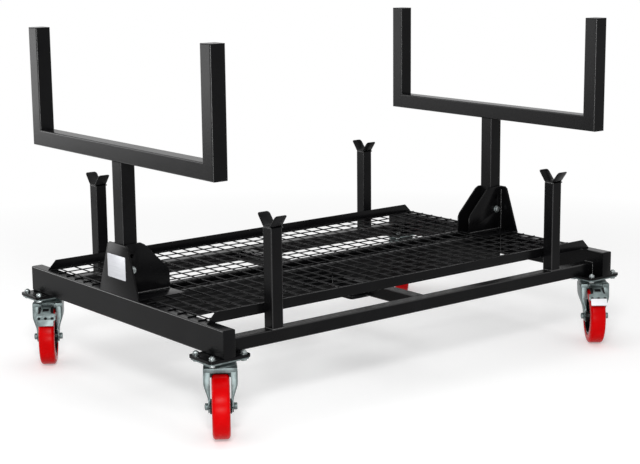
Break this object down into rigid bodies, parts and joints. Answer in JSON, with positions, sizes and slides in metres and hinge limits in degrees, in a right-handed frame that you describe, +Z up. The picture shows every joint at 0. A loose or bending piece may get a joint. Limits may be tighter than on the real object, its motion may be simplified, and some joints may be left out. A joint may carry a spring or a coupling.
{
  "type": "wheeled long-goods rack",
  "caption": "Low steel rack on swivel casters with a wire mesh deck, a tall U cradle at each end and short V posts beside the deck, for bundles and sheets.",
  "frame": {"origin": "on the floor under the middle of the box that holds the whole rack, with the casters turned as stored", "axes": "+X along the rack, from the left cradle to the right one; +Y across it, from the near side to the far side; +Z up"},
  "size_m": [1.6952, 1.1512, 1.078],
  "materials": {
    "black_coat": "satin black powder coat",
    "zinc": "bright zinc plate",
    "wheel_core": "black moulded core",
    "red_tread": "satin red polyurethane",
    "white_pad": "matt white"
  },
  "bodies": {
    "frame": {"end_beam_left": "black_coat", "end_beam_right": "black_coat", "beam_caps": "black_coat", "side_rail_near": "black_coat", "side_rail_far": "black_coat", "centre_runner_near": "black_coat", "centre_runner_far": "black_coat", "cross_member": "black_coat", "centre_pads": "black_coat", "caster_pads": "black_coat", "bracket_feet": "black_coat", "bracket_faces": "black_coat", "bracket_wings": "black_coat", "cradle_post_left": "black_coat", "cradle_post_right": "black_coat", "cradle_bar_left": "black_coat", "cradle_bar_right": "black_coat", "cradle_arm_near_left": "black_coat", "cradle_arm_near_right": "black_coat", "cradle_arm_far_left": "black_coat", "cradle_arm_far_right": "black_coat", "arm_caps": "black_coat", "v_post_near_left": "black_coat", "v_post_near_right": "black_coat", "v_post_far_left": "black_coat", "v_post_far_right": "black_coat", "v_saddle_near_left": "black_coat", "v_saddle_near_right": "black_coat", "v_saddle_far_left": "black_coat", "v_saddle_far_right": "black_coat", "deck_mesh_near": "black_coat", "deck_mesh_far": "black_coat", "deck_lip_near": "black_coat", "deck_lip_far": "black_coat", "cradle_bolts": "zinc", "caster_bolts": "zinc", "top_plate_near_left": "zinc", "top_plate_near_right": "zinc", "top_plate_far_left": "zinc", "top_plate_far_right": "zinc"},
    "swivel_near_left": {"fork_near_left": "zinc", "axle_near_left": "zinc"},
    "wheel_near_left": {"wheel_core_near_left": "wheel_core", "tyre_near_left": "red_tread"},
    "swivel_near_right": {"fork_near_right": "zinc", "axle_near_right": "zinc"},
    "wheel_near_right": {"wheel_core_near_right": "wheel_core", "tyre_near_right": "red_tread"},
    "swivel_far_left": {"fork_far_left": "zinc", "axle_far_left": "zinc"},
    "wheel_far_left": {"wheel_core_far_left": "wheel_core", "tyre_far_left": "red_tread"},
    "swivel_far_right": {"fork_far_right": "zinc", "axle_far_right": "zinc"},
    "wheel_far_right": {"wheel_core_far_right": "wheel_core", "tyre_far_right": "red_tread"},
    "pedal_near_right": {"brake_pedal_near_right": "zinc", "brake_pad": "white_pad"},
    "pedal_far_left": {"brake_pedal_far_left": "zinc"}
  },
  "joints": [
    {"name": "swivel_near_left", "type": "hinge", "parent": "frame", "child": "swivel_near_left", "pos_m": [-0.75235, -0.45176, 0.2], "axis": [0, 0, 1], "continuous": true},
    {"name": "spin_near_left", "type": "hinge", "parent": "swivel_near_left", "child": "wheel_near_left", "pos_m": [-0.77784, -0.48884, 0.09], "axis": [0.8241, -0.5664, 0], "continuous": true},
    {"name": "swivel_near_right", "type": "hinge", "parent": "frame", "child": "swivel_near_right", "pos_m": [0.77765, -0.45176, 0.2], "axis": [0, 0, 1], "continuous": true},
    {"name": "spin_near_right", "type": "hinge", "parent": "swivel_near_right", "child": "wheel_near_right", "pos_m": [0.74933, -0.48673, 0.09], "axis": [0.7771, -0.6293, 0], "continuous": true},
    {"name": "swivel_far_left", "type": "hinge", "parent": "frame", "child": "swivel_far_left", "pos_m": [-0.75235, 0.51824, 0.2], "axis": [0, 0, 1], "continuous": true},
    {"name": "spin_far_left", "type": "hinge", "parent": "swivel_far_left", "child": "wheel_far_left", "pos_m": [-0.77719, 0.48072, 0.09], "axis": [0.8339, -0.5519, 0], "continuous": true},
    {"name": "swivel_far_right", "type": "hinge", "parent": "frame", "child": "swivel_far_right", "pos_m": [0.77765, 0.51824, 0.2], "axis": [0, 0, 1], "continuous": true},
    {"name": "spin_far_right", "type": "hinge", "parent": "swivel_far_right", "child": "wheel_far_right", "pos_m": [0.74872, 0.48377, 0.09], "axis": [0.766, -0.6428, 0], "continuous": true},
    {"name": "pedal_near_right", "type": "hinge", "parent": "swivel_near_right", "child": "pedal_near_right", "pos_m": [0.74474, -0.49239, 0.19425], "axis": [-0.7771, 0.6293, 0], "range_deg": [0, 15]},
    {"name": "pedal_far_left", "type": "hinge", "parent": "swivel_far_left", "child": "pedal_far_left", "pos_m": [-0.78121, 0.47464, 0.19425], "axis": [-0.8339, 0.5519, 0], "range_deg": [0, 15]}
  ]
}
